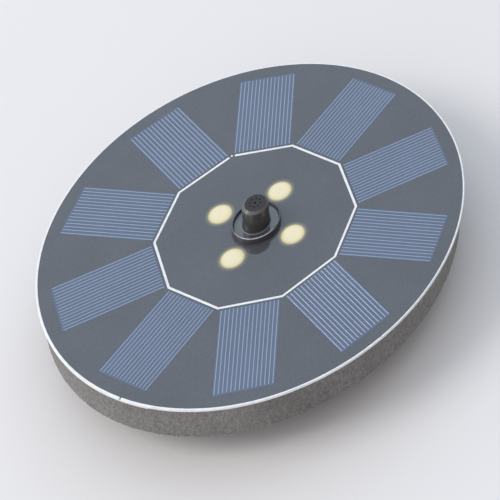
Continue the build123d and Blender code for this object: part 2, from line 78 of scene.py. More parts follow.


# ------------------------------------------------------------------ node helpers
class Mat:
    """A small builder for procedural materials. Object coordinates are metres in the row frame."""

    def __init__(self, name):
        self.m = bpy.data.materials.new(name)
        self.m.use_nodes = True
        self.nt = self.m.node_tree
        self.nt.nodes.clear()
        self.out = self.nt.nodes.new("ShaderNodeOutputMaterial")
        self.b = self.nt.nodes.new("ShaderNodeBsdfPrincipled")
        self.nt.links.new(self.b.outputs[0], self.out.inputs["Surface"])
        self.tc = self.nt.nodes.new("ShaderNodeTexCoord")
        self.obj = self.tc.outputs["Object"]
        self.gen = self.tc.outputs["Generated"]

    def n(self, kind, **props):
        node = self.nt.nodes.new(kind)
        for k, v in props.items():
            setattr(node, k, v)
        return node

    def link(self, a, b):
        self.nt.links.new(a, b)

    def put(self, socket, value):
        if isinstance(value, bpy.types.NodeSocket):
            self.link(value, socket)
        elif isinstance(value, (tuple, list)):
            v = list(value)
            if len(v) == 3 and socket.type == "RGBA":
                v.append(1.0)
            socket.default_value = v
        else:
            socket.default_value = value

    def set(self, **kw):
        names = {
            "color": "Base Color",
            "rough": "Roughness",
            "metal": "Metallic",
            "coat": "Coat Weight",
            "coat_rough": "Coat Roughness",
            "coat_ior": "Coat IOR",
            "coat_normal": "Coat Normal",
            "normal": "Normal",
            "ior": "IOR",
            "spec": "Specular IOR Level",
            "emit": "Emission Color",
            "emit_k": "Emission Strength",
            "sheen": "Sheen Weight",
            "sheen_rough": "Sheen Roughness",
            "trans": "Transmission Weight",
            "sss": "Subsurface Weight",
            "sss_scale": "Subsurface Scale",
            "aniso": "Anisotropic",
        }
        for k, v in kw.items():
            self.put(self.b.inputs[names[k]], v)
        return self

    def mapping(self, vec=None, scale=(1, 1, 1), rot=(0, 0, 0), loc=(0, 0, 0)):
        mp = self.n("ShaderNodeMapping")
        self.link(vec or self.obj, mp.inputs["Vector"])
        mp.inputs["Scale"].default_value = scale
        mp.inputs["Rotation"].default_value = rot
        mp.inputs["Location"].default_value = loc
        return mp.outputs[0]

    def noise(self, scale, detail=3.0, rough=0.55, vec=None, distort=0.0):
        t = self.n("ShaderNodeTexNoise")
        self.link(vec or self.obj, t.inputs["Vector"])
        t.inputs["Scale"].default_value = scale
        t.inputs["Detail"].default_value = detail
        t.inputs["Roughness"].default_value = rough
        t.inputs["Distortion"].default_value = distort
        return t.outputs["Fac"]

    def voronoi(self, scale, feature="F1", vec=None, rand=1.0, out="Distance"):
        t = self.n("ShaderNodeTexVoronoi", feature=feature)
        self.link(vec or self.obj, t.inputs["Vector"])
        t.inputs["Scale"].default_value = scale
        t.inputs["Randomness"].default_value = rand
        return t.outputs[out]

    def wave(self, scale, vec=None, direction="X", distort=0.0, detail=2.0, profile="SIN"):
        t = self.n("ShaderNodeTexWave", wave_type="BANDS", bands_direction=direction, wave_profile=profile)
        self.link(vec or self.obj, t.inputs["Vector"])
        t.inputs["Scale"].default_value = scale
        t.inputs["Distortion"].default_value = distort
        t.inputs["Detail"].default_value = detail
        return t.outputs["Fac"]

    def ramp(self, fac, stops, interp="LINEAR"):
        r = self.n("ShaderNodeValToRGB")
        r.color_ramp.interpolation = interp
        els = r.color_ramp.elements
        while len(els) < len(stops):
            els.new(0.5)
        for e, (p, c) in zip(els, stops):
            e.position = p
            e.color = (c, c, c, 1.0) if isinstance(c, (int, float)) else (*c, 1.0)
        self.link(fac, r.inputs["Fac"])
        return r.outputs["Color"]

    def mix(self, fac, a, b, mode="MIX"):
        mx = self.n("ShaderNodeMix", data_type="RGBA", blend_type=mode)
        self.put(mx.inputs["Factor"], fac)
        self.put(mx.inputs[6], a)
        self.put(mx.inputs[7], b)
        return mx.outputs[2]

    def math(self, op, a, b=0.0, clamp=False):
        mt = self.n("ShaderNodeMath", operation=op, use_clamp=clamp)
        self.put(mt.inputs[0], a)
        self.put(mt.inputs[1], b)
        return mt.outputs[0]

    def remap(self, v, a, b, c, d, clamp=True):
        r = self.n("ShaderNodeMapRange", clamp=clamp)
        self.link(v, r.inputs["Value"])
        for i, x in zip(("From Min", "From Max", "To Min", "To Max"), (a, b, c, d)):
            r.inputs[i].default_value = x
        return r.outputs[0]

    def bump(self, height, strength=0.3, dist=0.0001, normal=None):
        bp = self.n("ShaderNodeBump")
        self.put(bp.inputs["Height"], height)
        bp.inputs["Strength"].default_value = strength
        bp.inputs["Distance"].default_value = dist
        if normal is not None:
            self.link(normal, bp.inputs["Normal"])
        return bp.outputs[0]

    def edge(self, lo=0.52, hi=0.6):
        g = self.n("ShaderNodeNewGeometry")
        return self.remap(g.outputs["Pointiness"], lo, hi, 0.0, 1.0)

    def xyz(self, vec=None):
        s = self.n("ShaderNodeSeparateXYZ")
        self.link(vec or self.obj, s.inputs[0])
        return s.outputs


def assign(obj, mat):
    obj.data.materials.clear()
    obj.data.materials.append(mat)


# ------------------------------------------------------------------ materials
def panel_material(name, painted_lamp_glow):
    """Slate-grey printed laminate under a clear, glossy resin skin, optionally with painted lamp light round each lens.
    """
    a = Mat(name)
    cloud = a.noise(38.0, 5.0, 0.6)
    grain = a.noise(2600.0, 2.0, 0.6)
    fleck = a.voronoi(900.0, "F1")
    base = a.ramp(cloud, [(0.3, (0.051, 0.054, 0.065)), (0.5, (0.057, 0.061, 0.074)), (0.72, (0.064, 0.070, 0.083))])
    fine = a.ramp(grain, [(0.35, 0.80), (0.5, 1.0), (0.68, 1.22)])
    base = a.mix(1.0, base, fine, "MULTIPLY")
    dust = a.ramp(fleck, [(0.0, 0.30), (0.09, 0.0)])
    dustmask = a.ramp(a.noise(120.0, 2.0, 0.5), [(0.55, 0.0), (0.7, 0.35)])
    base = a.mix(a.math("MULTIPLY", dust, dustmask), base, (0.16, 0.17, 0.18))
    smear = a.noise(24.0, 4.0, 0.6, vec=a.mapping(scale=(1.0, 0.35, 1.0), rot=(0, 0, 0.6)))
    ripple = a.bump(a.noise(70.0, 2.0, 0.5), 0.03, 0.0004)
    a.set(
        color=base,
        rough=a.remap(grain, 0.3, 0.7, 0.46, 0.6),
        ior=1.4,
        spec=0.35,
        normal=a.bump(grain, 0.10, 0.00005),
        coat=1.0,
        coat_ior=1.63,
        coat_rough=a.remap(smear, 0.35, 0.7, 0.02, 0.07),
        coat_normal=ripple,
    )
    # Painted light: the lamps' warm spill onto the panel is painted in as emission, in a soft ring round each lens; the
    # panel itself is no lamp.
    if painted_lamp_glow:
        total = None
        for x, y in LEDS:
            d = a.n("ShaderNodeVectorMath", operation="DISTANCE")
            a.link(a.obj, d.inputs[0])
            d.inputs[1].default_value = (x, y, FACE_Z)
            near = a.remap(d.outputs["Value"], 0.0043, 0.0064, 1.0, 0.0)
            near = a.math("POWER", near, 2.4)
            total = near if total is None else a.math("ADD", total, near)
        a.set(emit=(1.0, 0.88, 0.46), emit_k=a.math("MULTIPLY", total, 0.28))
    return a.m


def cell_material(name, angle):
    """Blue silicon strip: faint cross grain and crystal mottling under the same clear skin."""
    a = Mat(name)
    local = a.mapping(rot=(0, 0, -math.radians(angle)))  # strip's own axes: x runs outwards
    crystal = a.voronoi(210.0, "F1", out="Color", vec=local)
    sep = a.n("ShaderNodeSeparateColor")
    a.link(crystal, sep.inputs[0])
    grain = a.noise(900.0, 3.0, 0.55, vec=a.mapping(vec=local, scale=(0.25, 1.6, 1.0)))
    cloud = a.noise(30.0, 4.0, 0.55)
    base = a.ramp(cloud, [(0.3, (0.026, 0.050, 0.112)), (0.52, (0.033, 0.060, 0.128)), (0.75, (0.042, 0.072, 0.148))])
    base = a.mix(a.math("MULTIPLY", sep.outputs[0], 0.18), base, (0.052, 0.086, 0.175))
    base = a.mix(1.0, base, a.ramp(grain, [(0.3, 0.86), (0.5, 1.0), (0.7, 1.12)]), "MULTIPLY")
    a.set(
        color=base,
        rough=a.remap(grain, 0.3, 0.7, 0.36, 0.48),
        ior=1.4,
        metal=0.0,
        normal=a.bump(grain, 0.08, 0.00005),
        coat=1.0,
        coat_ior=1.75,
        coat_rough=0.04,
    )
    return a.m


def finger_material():
    a = Mat("finger_paste")
    g = a.noise(3000.0, 3.0, 0.6)
    broken = a.noise(420.0, 3.0, 0.6)
    base = a.ramp(g, [(0.3, (0.17, 0.225, 0.33)), (0.55, (0.22, 0.28, 0.40)), (0.75, (0.28, 0.345, 0.47))])
    base = a.mix(a.ramp(broken, [(0.3, 0.35), (0.5, 0.0)]), base, (0.14, 0.19, 0.31))
    a.set(color=base, rough=a.remap(g, 0.3, 0.7, 0.32, 0.5), normal=a.bump(g, 0.2, 0.00004), coat=1.0, coat_ior=1.75, coat_rough=0.05)
    return a.m


def plastic(name, dark, mid, light, rough=(0.35, 0.5), tex=2400.0, bump=0.22, wear=0.25, wear_color=None, coat=0.0, streak=0.0, dust=0.0):
    """Moulded plastic: mottled colour, spark-eroded surface, brighter rubbed edges and a little dust."""
    a = Mat(name)
    big = a.noise(60.0, 4.0, 0.6)
    mid_n = a.noise(420.0, 3.0, 0.55)
    fine = a.noise(tex, 3.0, 0.6)
    base = a.ramp(big, [(0.3, dark), (0.5, mid), (0.72, light)])
    base = a.mix(1.0, base, a.ramp(mid_n, [(0.3, 0.90), (0.5, 1.0), (0.7, 1.1)]), "MULTIPLY")
    if streak:
        s = a.noise(90.0, 3.0, 0.5, vec=a.mapping(scale=(1.0, 1.0, 0.06)))
        base = a.mix(a.ramp(s, [(0.5, 0.0), (0.75, streak)]), base, light)
    if dust:
        geo = a.n("ShaderNodeNewGeometry")
        nz = a.xyz(geo.outputs["Normal"])[2]
        up = a.remap(nz, 0.3, 1.0, 0.0, dust)
        up = a.math("MULTIPLY", up, a.remap(a.noise(700.0, 4.0, 0.65), 0.45, 0.7, 0.0, 1.0))
        base = a.mix(up, base, (0.30, 0.29, 0.27))
    e = a.math("MULTIPLY", a.edge(0.51, 0.60), wear)
    base = a.mix(e, base, wear_color or tuple(min(1.0, c * 2.2 + 0.02) for c in light))
    h = a.math("ADD", a.math("MULTIPLY", fine, 0.7), a.math("MULTIPLY", mid_n, 0.6))
    a.set(
        color=base,
        rough=a.remap(a.math("ADD", fine, a.math("MULTIPLY", big, 0.6)), 0.5, 1.1, rough[0], rough[1]),
        normal=a.bump(h, bump, 0.00006),
    )
    if coat:
        a.set(coat=coat, coat_rough=0.12)
    return a


def rubber(name, c=(0.022, 0.022, 0.022)):
    a = plastic(name, tuple(x * 0.8 for x in c), c, tuple(x * 1.4 for x in c), rough=(0.6, 0.78), tex=1800.0, bump=0.35, wear=0.15)
    a.set(sheen=0.15, sheen_rough=0.5)
    return a


def metal(name, tint, rough=(0.22, 0.4), grain_scale=(1.0, 1.0, 0.05), scale=1500.0, tarnish=(0.3, 0.28, 0.25), amount=0.25):
    a = Mat(name)
    grain = a.noise(scale, 3.0, 0.6, vec=a.mapping(scale=grain_scale))
    spot = a.noise(500.0, 4.0, 0.6)
    base = a.mix(a.ramp(spot, [(0.5, 0.0), (0.75, amount)]), tint, tarnish)
    base = a.mix(1.0, base, a.ramp(grain, [(0.3, 0.85), (0.7, 1.1)]), "MULTIPLY")
    a.set(color=base, metal=1.0, rough=a.remap(grain, 0.3, 0.7, *rough), normal=a.bump(grain, 0.12, 0.00003))
    return a


def foam_material():
    """Closed-cell foam, cut face: open pores and a fine upright grain, brownish grey, matte."""
    a = Mat("float_foam_cut")
    warp = a.noise(300.0, 3.0, 0.6)
    pore = a.voronoi(1150.0, "F1", vec=a.mapping(scale=(1.0, 1.0, 0.7)))
    pore2 = a.voronoi(2600.0, "F1")
    big = a.noise(28.0, 4.0, 0.6)
    fibre = a.noise(1000.0, 4.0, 0.7, vec=a.mapping(scale=(1.0, 1.0, 0.42)))
    speck = a.noise(1500.0, 3.0, 0.7)
    base = a.ramp(big, [(0.3, (0.145, 0.138, 0.131)), (0.5, (0.182, 0.174, 0.166)), (0.74, (0.218, 0.208, 0.199))])
    base = a.mix(1.0, base, a.ramp(fibre, [(0.32, 0.66), (0.5, 1.0), (0.68, 1.32)]), "MULTIPLY")
    base = a.mix(1.0, base, a.ramp(speck, [(0.32, 0.72), (0.5, 1.0), (0.68, 1.25)]), "MULTIPLY")
    # Painted shade: the pore hollows are darkened in the colour; the same pores are also sunk in the bump below.
    base = a.mix(a.ramp(pore, [(0.10, 0.72), (0.32, 0.0)]), base, (0.050, 0.046, 0.043))
    base = a.mix(a.ramp(pore2, [(0.0, 0.5), (0.2, 0.0)]), base, (0.42, 0.40, 0.38))
    h = a.math("ADD", a.math("MULTIPLY", a.ramp(pore, [(0.0, 0.0), (0.38, 1.0)]), 0.8), a.math("MULTIPLY", fibre, 0.8))
    h = a.math("ADD", h, a.math("MULTIPLY", warp, 0.4))
    a.set(color=base, rough=a.remap(fibre, 0.3, 0.7, 0.86, 0.97), spec=0.25, normal=a.bump(h, 0.75, 0.00022), sheen=0.12, sheen_rough=0.7)
    return a.m


def tape_material():
    """White double-sided foam tape: fine cells, faintly greyed by glue along its edge."""
    a = Mat("white_foam_tape")
    cell = a.voronoi(2200.0, "F1")
    big = a.noise(45.0, 4.0, 0.6)
    grime = a.noise(240.0, 4.0, 0.65, vec=a.mapping(scale=(1.0, 1.0, 0.2)))
    base = a.ramp(big, [(0.3, (0.73, 0.73, 0.72)), (0.7, (0.80, 0.80, 0.79))])
    base = a.mix(a.ramp(grime, [(0.56, 0.0), (0.74, 0.45)]), base, (0.52, 0.50, 0.47))
    base = a.mix(a.ramp(cell, [(0.0, 0.25), (0.25, 0.0)]), base, (0.62, 0.61, 0.59))
    a.set(color=base, rough=a.remap(cell, 0.1, 0.5, 0.7, 0.85), spec=0.3, normal=a.bump(cell, 0.4, 0.00008))
    return a.m


def sponge_material():
    a = Mat("filter_sponge_foam")
    strut = a.voronoi(900.0, "DISTANCE_TO_EDGE")
    n2 = a.noise(800.0, 3.0, 0.6)
    # Painted shade: the holes between the struts are painted near-black and the struts lighter.
    base = a.mix(a.ramp(strut, [(0.02, 1.0), (0.12, 0.0)]), (0.006, 0.006, 0.006), (0.055, 0.054, 0.052))
    base = a.mix(1.0, base, a.ramp(n2, [(0.3, 0.7), (0.7, 1.3)]), "MULTIPLY")
    a.set(color=base, rough=0.95, spec=0.2, normal=a.bump(a.ramp(strut, [(0.0, 1.0), (0.2, 0.0)]), 0.9, 0.0005), sheen=0.1)
    return a.m


def lens_material():
    """Frosted warm-white lamp lens, lit from behind: creamy middle, faintly yellower edge."""
    a = Mat("lamp_lens_lit")
    s = a.xyz(a.gen)
    dx = a.math("SUBTRACT", s[0], 0.5)
    dy = a.math("SUBTRACT", s[1], 0.5)
    r = a.math("SQRT", a.math("ADD", a.math("MULTIPLY", dx, dx), a.math("MULTIPLY", dy, dy)))
    frost = a.noise(1500.0, 3.0, 0.6)
    col = a.ramp(r, [(0.0, (1.0, 0.90, 0.66)), (0.24, (1.0, 0.93, 0.66)), (0.36, (0.98, 0.92, 0.60)), (0.44, (0.86, 0.78, 0.42))])
    k = a.ramp(r, [(0.0, 0.77), (0.26, 0.76), (0.38, 0.72), (0.44, 0.58)])
    k = a.mix(1.0, k, a.ramp(frost, [(0.3, 0.97), (0.7, 1.03)]), "MULTIPLY")
    a.set(color=(0.05, 0.046, 0.034), emit=col, emit_k=k, rough=a.remap(frost, 0.3, 0.7, 0.34, 0.46), normal=a.bump(frost, 0.1, 0.00005), coat=0.2, coat_rough=0.15)
    return a.m


def nozzle_material():
    """Black nozzle: satin body, glossy dish and lightly worn edges, with painted light on the collar: a blue-grey
    painted reflection in the dish and on the rim's inner wall, painted highlights on the rim top and the body's top
    bevel, and a near-white painted highlight arc on the camera side of the rim.
    """
    a = plastic("nozzle_black", (0.040, 0.038, 0.039), (0.048, 0.046, 0.047), (0.058, 0.056, 0.058), rough=(0.38, 0.50), tex=3200.0, bump=0.14, wear=0.3, wear_color=(0.10, 0.10, 0.105))
    s = a.xyz()
    r = a.math("SQRT", a.math("ADD", a.math("MULTIPLY", s[0], s[0]), a.math("MULTIPLY", s[1], s[1])))
    low = a.math("LESS_THAN", s[2], FACE_Z + 1.25 * MM)
    high = a.remap(s[2], FACE_Z + 2.25 * MM, FACE_Z + 2.45 * MM, 0.0, 1.0)
    dish = a.math("MULTIPLY", low, a.math("MULTIPLY", a.math("GREATER_THAN", r, 5.4 * MM), a.math("LESS_THAN", r, 8.6 * MM)))
    a.set(coat=a.math("ADD", 0.25, a.math("MULTIPLY", dish, 0.75)), coat_ior=1.8, coat_rough=0.06)
    base_in = a.b.inputs["Base Color"]
    base = base_in.links[0].from_socket
    # Painted reflection: the dish floor is tinted blue-grey, the panel's tone, as if it mirrored the sky.
    base = a.mix(a.math("MULTIPLY", dish, 0.85), base, (0.040, 0.049, 0.062))
    ring = a.math("MULTIPLY", a.remap(r, 8.60 * MM, 8.68 * MM, 0.0, 1.0), a.remap(r, 8.98 * MM, 9.08 * MM, 1.0, 0.0))
    front = a.math("ADD", a.math("MULTIPLY", s[0], HIGHLIGHT_SIDE[0]), a.math("MULTIPLY", s[1], HIGHLIGHT_SIDE[1]))
    face = a.remap(a.math("DIVIDE", front, r), 0.45, 0.95, 0.0, 1.0)
    arc_breakup = a.remap(a.noise(600.0, 3.0, 0.6), 0.3, 0.55, 0.65, 1.0)
    # Painted reflection: the rim's inner wall is lightened towards blue-grey.
    inner = a.math("MULTIPLY", a.math("GREATER_THAN", r, 8.2 * MM), a.math("LESS_THAN", r, 8.98 * MM))
    inner = a.math("MULTIPLY", inner, a.math("GREATER_THAN", s[2], FACE_Z + 1.0 * MM))
    base = a.mix(a.math("MULTIPLY", inner, 0.8), base, (0.075, 0.082, 0.095))
    # Painted highlight: the top bevel of the body is lightened to grey, broken up by noise.
    bevel = a.math("MULTIPLY", a.math("GREATER_THAN", s[2], NOZ_TOP - 1.05 * MM), a.remap(r, 3.96 * MM, 4.04 * MM, 0.0, 1.0))
    base = a.mix(a.math("MULTIPLY", bevel, a.remap(a.noise(350.0, 3.0, 0.6), 0.3, 0.6, 0.55, 0.9)), base, (0.105, 0.101, 0.103))
    # Painted highlight: the rim top is lightened all round.
    top = a.math("MULTIPLY", high, a.math("GREATER_THAN", r, 8.5 * MM))
    base = a.mix(a.math("MULTIPLY", top, 0.9), base, (0.080, 0.086, 0.098))
    # Painted highlight: a near-white arc along the rim top on the camera side, broken up by noise.
    painted_arc = a.math("MULTIPLY", a.math("MULTIPLY", high, ring), a.math("MULTIPLY", face, arc_breakup))
    base = a.mix(painted_arc, base, (0.86, 0.86, 0.88))
    a.link(base, base_in)
    return a


def board_material():
    a = Mat("circuit_board_mask")
    tr = a.wave(55.0, direction="X", distort=14.0, detail=1.0)
    lines = a.ramp(tr, [(0.40, 0.0), (0.47, 1.0), (0.53, 1.0), (0.60, 0.0)])
    weave = a.noise(1600.0, 2.0, 0.5)
    base = a.mix(a.math("MULTIPLY", lines, 0.6), (0.012, 0.075, 0.035), (0.03, 0.16, 0.07))
    base = a.mix(1.0, base, a.ramp(weave, [(0.3, 0.85), (0.7, 1.12)]), "MULTIPLY")
    a.set(color=base, rough=a.remap(weave, 0.3, 0.7, 0.3, 0.45), normal=a.bump(lines, 0.3, 0.00004), coat=0.3, coat_rough=0.2)
    return a.m


def winding_material():
    a = Mat("enamelled_winding")
    w = a.wave(700.0, direction="Y", distort=0.6, detail=1.0)
    base = a.mix(a.ramp(w, [(0.2, 0.0), (0.8, 1.0)]), (0.22, 0.055, 0.018), (0.62, 0.22, 0.08))
    a.set(color=base, metal=0.9, rough=a.remap(w, 0.0, 1.0, 0.45, 0.25), normal=a.bump(w, 0.9, 0.00015), coat=0.6, coat_rough=0.1)
    return a.m


def core_material():
    a = Mat("laminated_core")
    w = a.wave(320.0, direction="Z", distort=0.2, detail=1.0)
    sp = a.noise(900.0, 4.0, 0.6)
    base = a.mix(a.ramp(w, [(0.35, 0.0), (0.5, 1.0)]), (0.16, 0.16, 0.17), (0.34, 0.34, 0.36))
    base = a.mix(a.ramp(sp, [(0.62, 0.0), (0.8, 0.4)]), base, (0.22, 0.10, 0.05))
    a.set(color=base, metal=0.9, rough=a.remap(sp, 0.3, 0.7, 0.35, 0.55), normal=a.bump(w, 0.6, 0.0001))
    return a.m


def wire_material(name, plus, minus):
    """Two colours of sleeve, chosen by which side of the centre the wire is on."""
    a = Mat(name)
    y = a.xyz()[1]
    side = a.math("GREATER_THAN", y, 0.0)
    n1 = a.noise(1400.0, 3.0, 0.5)
    base = a.mix(side, minus, plus)
    base = a.mix(1.0, base, a.ramp(n1, [(0.3, 0.85), (0.7, 1.15)]), "MULTIPLY")
    a.set(color=base, rough=a.remap(n1, 0.3, 0.7, 0.35, 0.5), normal=a.bump(n1, 0.15, 0.00005))
    return a.m


black = plastic("moulded_black", (0.016, 0.016, 0.017), (0.022, 0.022, 0.023), (0.030, 0.030, 0.032), rough=(0.38, 0.55), wear=0.2, streak=0.15)
cup_black = plastic("strainer_black", (0.018, 0.018, 0.019), (0.025, 0.025, 0.026), (0.034, 0.034, 0.036), rough=(0.42, 0.60), bump=0.3, wear=0.3, streak=0.2)
noz = nozzle_material()
cap_m = plastic("spray_cap_black", (0.028, 0.028, 0.029), (0.034, 0.034, 0.035), (0.042, 0.042, 0.043), rough=(0.55, 0.68), tex=2800.0, bump=0.25, wear=0.25, wear_color=(0.07, 0.07, 0.075))
cap_m.set(spec=0.22)
white = plastic("white_edge_plastic", (0.74, 0.75, 0.77), (0.79, 0.80, 0.815), (0.83, 0.84, 0.855), rough=(0.30, 0.42), bump=0.12, wear=0.0, dust=0.0)
white.set(sss=0.05, sss_scale=0.001, coat=0.25, coat_rough=0.15)
seal = rubber("seal_rubber_black")
steel = metal("screw_stainless", (0.62, 0.61, 0.60))
tin = metal("tinned_ribbon", (0.72, 0.72, 0.70), rough=(0.3, 0.5))
comp = plastic("component_case", (0.012, 0.012, 0.012), (0.018, 0.018, 0.018), (0.03, 0.03, 0.03), rough=(0.4, 0.6), tex=2600.0)
chip = plastic("lamp_chip_phosphor", (0.75, 0.55, 0.10), (0.85, 0.66, 0.16), (0.92, 0.75, 0.25), rough=(0.3, 0.5))
bobbin = plastic("bobbin_nylon", (0.62, 0.60, 0.54), (0.70, 0.68, 0.62), (0.76, 0.74, 0.69), rough=(0.35, 0.5))
resin = plastic("potting_resin", (0.010, 0.010, 0.011), (0.014, 0.014, 0.015), (0.02, 0.02, 0.022), rough=(0.12, 0.25), tex=300.0, bump=0.3, coat=0.8)
ceramic = plastic("shaft_ceramic", (0.78, 0.78, 0.76), (0.84, 0.84, 0.82), (0.88, 0.88, 0.87), rough=(0.10, 0.2), tex=2500.0, bump=0.05, coat=0.5)
washer = plastic("washer_plastic", (0.66, 0.63, 0.54), (0.74, 0.71, 0.62), (0.8, 0.77, 0.7), rough=(0.35, 0.5))
impeller_m = plastic("impeller_plastic", (0.60, 0.61, 0.60), (0.68, 0.69, 0.68), (0.74, 0.75, 0.74), rough=(0.3, 0.45))
magnet = plastic("sintered_ferrite", (0.022, 0.022, 0.024), (0.032, 0.032, 0.035), (0.05, 0.05, 0.055), rough=(0.5, 0.75), tex=1400.0, bump=0.5, wear=0.4)

assign(N["outer_face"], panel_material("panel_outer", False))
assign(N["center_face"], panel_material("panel_center", True))
for k in range(10):
    assign(N[f"solar_cell_{k + 1:02d}"], cell_material(f"silicon_{k + 1:02d}", CELL_DIRS[k]))
lens_m = lens_material()
for k in range(1, 5):
    assign(N[f"led_lens_{k}"], lens_m)
pcb = board_material()
for node, mat in {
    "backing_plate": white.m,
    "cell_ribbons": tin.m,
    "solar_leads": wire_material("solar_lead_sleeves", (0.45, 0.02, 0.015), (0.02, 0.02, 0.02)),
    "led_chips": chip.m,
    "control_board": pcb,
    "board_components": comp.m,
    "mount_gasket": seal.m,
    "float_tape": tape_material(),
    "pump_mount": black.m,
    "pump_housing": black.m,
    "volute_cover": black.m,
    "cover_gasket": seal.m,
    "cover_screws": steel.m,
    "pump_screws": steel.m,
    "stator_core": core_material(),
    "coil_bobbin": bobbin.m,
    "stator_winding": winding_material(),
    "driver_board": pcb,
    "driver_components": comp.m,
    "potting_plug": resin.m,
    "rotor_shaft": ceramic.m,
    "front_bush": seal.m,
    "rear_bush": seal.m,
    "thrust_washers": washer.m,
    "pump_leads": wire_material("pump_lead_sleeves", (0.45, 0.02, 0.015), (0.03, 0.03, 0.03)),
    "lead_grommet": seal.m,
    "impeller": impeller_m.m,
    "rotor_magnet": magnet.m,
    "nozzle_body": noz.m,
    "spray_cap": cap_m.m,
    "strainer_cup": cup_black.m,
}.items():
    assign(N[node], mat)


# ------------------------------------------------------------------ mesh helpers
def add_object(name, bm, mat, smooth=True):
    me = bpy.data.meshes.new(name)
    bmesh.ops.recalc_face_normals(bm, faces=bm.faces)
    bm.to_mesh(me)
    bm.free()
    for p in me.polygons:
        p.use_smooth = smooth
    ob = bpy.data.objects.new(name, me)
    bpy.context.scene.collection.objects.link(ob)
    me.materials.append(mat)
    return ob


def ring_grid(name, profile, segments, mat, shape=None):
    """Closed ring swept round Z from a closed (radius, z, weight) profile; shape(point, normal, weight) returns the moved point."""
    bm = bmesh.new()
    m = len(profile)
    rows = []
    for i in range(segments):
        a = 2 * math.pi * i / segments
        ca, sa = math.cos(a), math.sin(a)
        row = []
        for j, (r, z, w) in enumerate(profile):
            p = Vector((r * ca, r * sa, z))
            if shape is not None and w > 0:
                r0, z0, _ = profile[j - 1]
                r1, z1, _ = profile[(j + 1) % m]
                t = Vector((r1 - r0, z1 - z0)).normalized()
                nrm = Vector((t.y * ca, t.y * sa, -t.x))
                p = shape(p, nrm, w)
            row.append(bm.verts.new(p))
        rows.append(row)
    for i in range(segments):
        r0, r1 = rows[i], rows[(i + 1) % segments]
        for j in range(m):
            k = (j + 1) % m
            bm.faces.new((r0[j], r1[j], r1[k], r0[k]))
    return add_object(name, bm, mat)


# ------------------------------------------------------------------ contact fingers on the ten strips
def finger_prism(bm, rot, x0, x1, y, w, h, z):
    """One printed contact line with sloped sides and drawn-in ends."""
    t = w * 0.30
    pts = [
        (x0, y - w / 2, z), (x1, y - w / 2, z), (x1, y + w / 2, z), (x0, y + w / 2, z),
        (x0 + t, y - w / 2 + t * 0.5, z + h), (x1 - t, y - w / 2 + t * 0.5, z + h),
        (x1 - t, y + w / 2 - t * 0.5, z + h), (x0 + t, y + w / 2 - t * 0.5, z + h),
    ]
    v = [bm.verts.new(rot @ Vector(p)) for p in pts]
    for f in ((4, 5, 6, 7), (0, 1, 5, 4), (1, 2, 6, 5), (2, 3, 7, 6), (3, 0, 4, 7), (3, 2, 1, 0)):
        bm.faces.new([v[i] for i in f])


PITCH = 1.48 * MM
finger_m = finger_material()
for k, a in enumerate(CELL_DIRS):
    bm = bmesh.new()
    rot = Matrix.Rotation(math.radians(a), 3, "Z")
    for i in range(-7, 8):
        j = noise.noise(Vector((k * 7.3, i * 3.1, 0.5))) * 0.03 * MM
        finger_prism(bm, rot, CELL_R0 + 0.15 * MM, CELL_R1 - 0.75 * MM, i * PITCH + j, 0.34 * MM, 0.03 * MM, FACE_Z + 0.002 * MM)
    ob = add_object(f"contact_fingers_{k + 1:02d}", bm, finger_m, smooth=False)
    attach(ob, "float_body")

# ------------------------------------------------------------------ foam float ring
f_lo, f_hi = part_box("float_ring")
FB, FT = f_lo.z, f_hi.z
R_IN = 37.8 * MM
R_BOT, R_TOP = 78.0 * MM, 78.5 * MM
R_EDGE = 0.9 * MM


def span(p0, p1, n, w0, w1):
    return [(p0[0] + (p1[0] - p0[0]) * i / n, p0[1] + (p1[1] - p0[1]) * i / n, w0 + (w1 - w0) * i / n) for i in range(n)]


prof = []
prof += span((R_IN + 0.3 * MM, FB), (R_BOT - R_EDGE, FB), 42, 1.0, 1.0)
for i in range(6):  # worn, rounded lower edge
    t = math.pi / 2 * i / 6
    prof.append((R_BOT - R_EDGE + R_EDGE * math.sin(t), FB + R_EDGE - R_EDGE * math.cos(t), 1.0))
prof += span((R_BOT, FB + R_EDGE), (R_TOP - 0.05 * MM, FT - 0.7 * MM), 26, 1.0, 0.9)
prof += [(R_TOP - 0.08 * MM, FT - 0.35 * MM, 0.5), (R_TOP - 0.25 * MM, FT - 0.02 * MM, 0.0)]
prof += span((R_TOP - 0.6 * MM, FT - 0.01 * MM), (R_IN + 0.1 * MM, FT - 0.01 * MM), 3, 0.0, 0.0)
prof += span((R_IN, FT - 0.02 * MM), (R_IN, FB + 0.3 * MM), 14, 0.6, 1.0)


def foam_shape(p, nrm, w):
    q = p * 1000.0
    low = noise.noise(q * 0.07) * 0.10 + noise.noise(q * 0.35 + Vector((9, 2, 5))) * 0.07
    mid = noise.noise(q * 1.1 + Vector((3, 7, 1))) * 0.07
    d = noise.voronoi(q * 0.62)[0][0]
    pit = max(0.0, 0.42 - d) / 0.42
    depth = 0.07 + low + mid + pit * 0.34
    return p - nrm * (max(0.0, depth) * MM * w)


foam = ring_grid("foam_float", prof, 900, foam_material(), foam_shape)
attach(foam, "float_body")
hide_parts("float_ring")

# ------------------------------------------------------------------ filter sponge inside the strainer
s_lo, s_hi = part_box("filter_sponge")
SR = s_hi.x - 0.1 * MM
prof = []
prof += span((28.9 * MM, s_lo.z + 0.15 * MM), (SR, s_lo.z + 0.15 * MM), 5, 1.0, 1.0)
prof += span((SR, s_lo.z + 0.3 * MM), (SR, s_hi.z - 0.3 * MM), 30, 1.0, 1.0)
prof += span((SR, s_hi.z - 0.1 * MM), (28.9 * MM, s_hi.z - 0.1 * MM), 5, 1.0, 1.0)
prof += span((28.9 * MM, s_hi.z - 0.3 * MM), (28.9 * MM, s_lo.z + 0.3 * MM), 16, 0.3, 0.3)


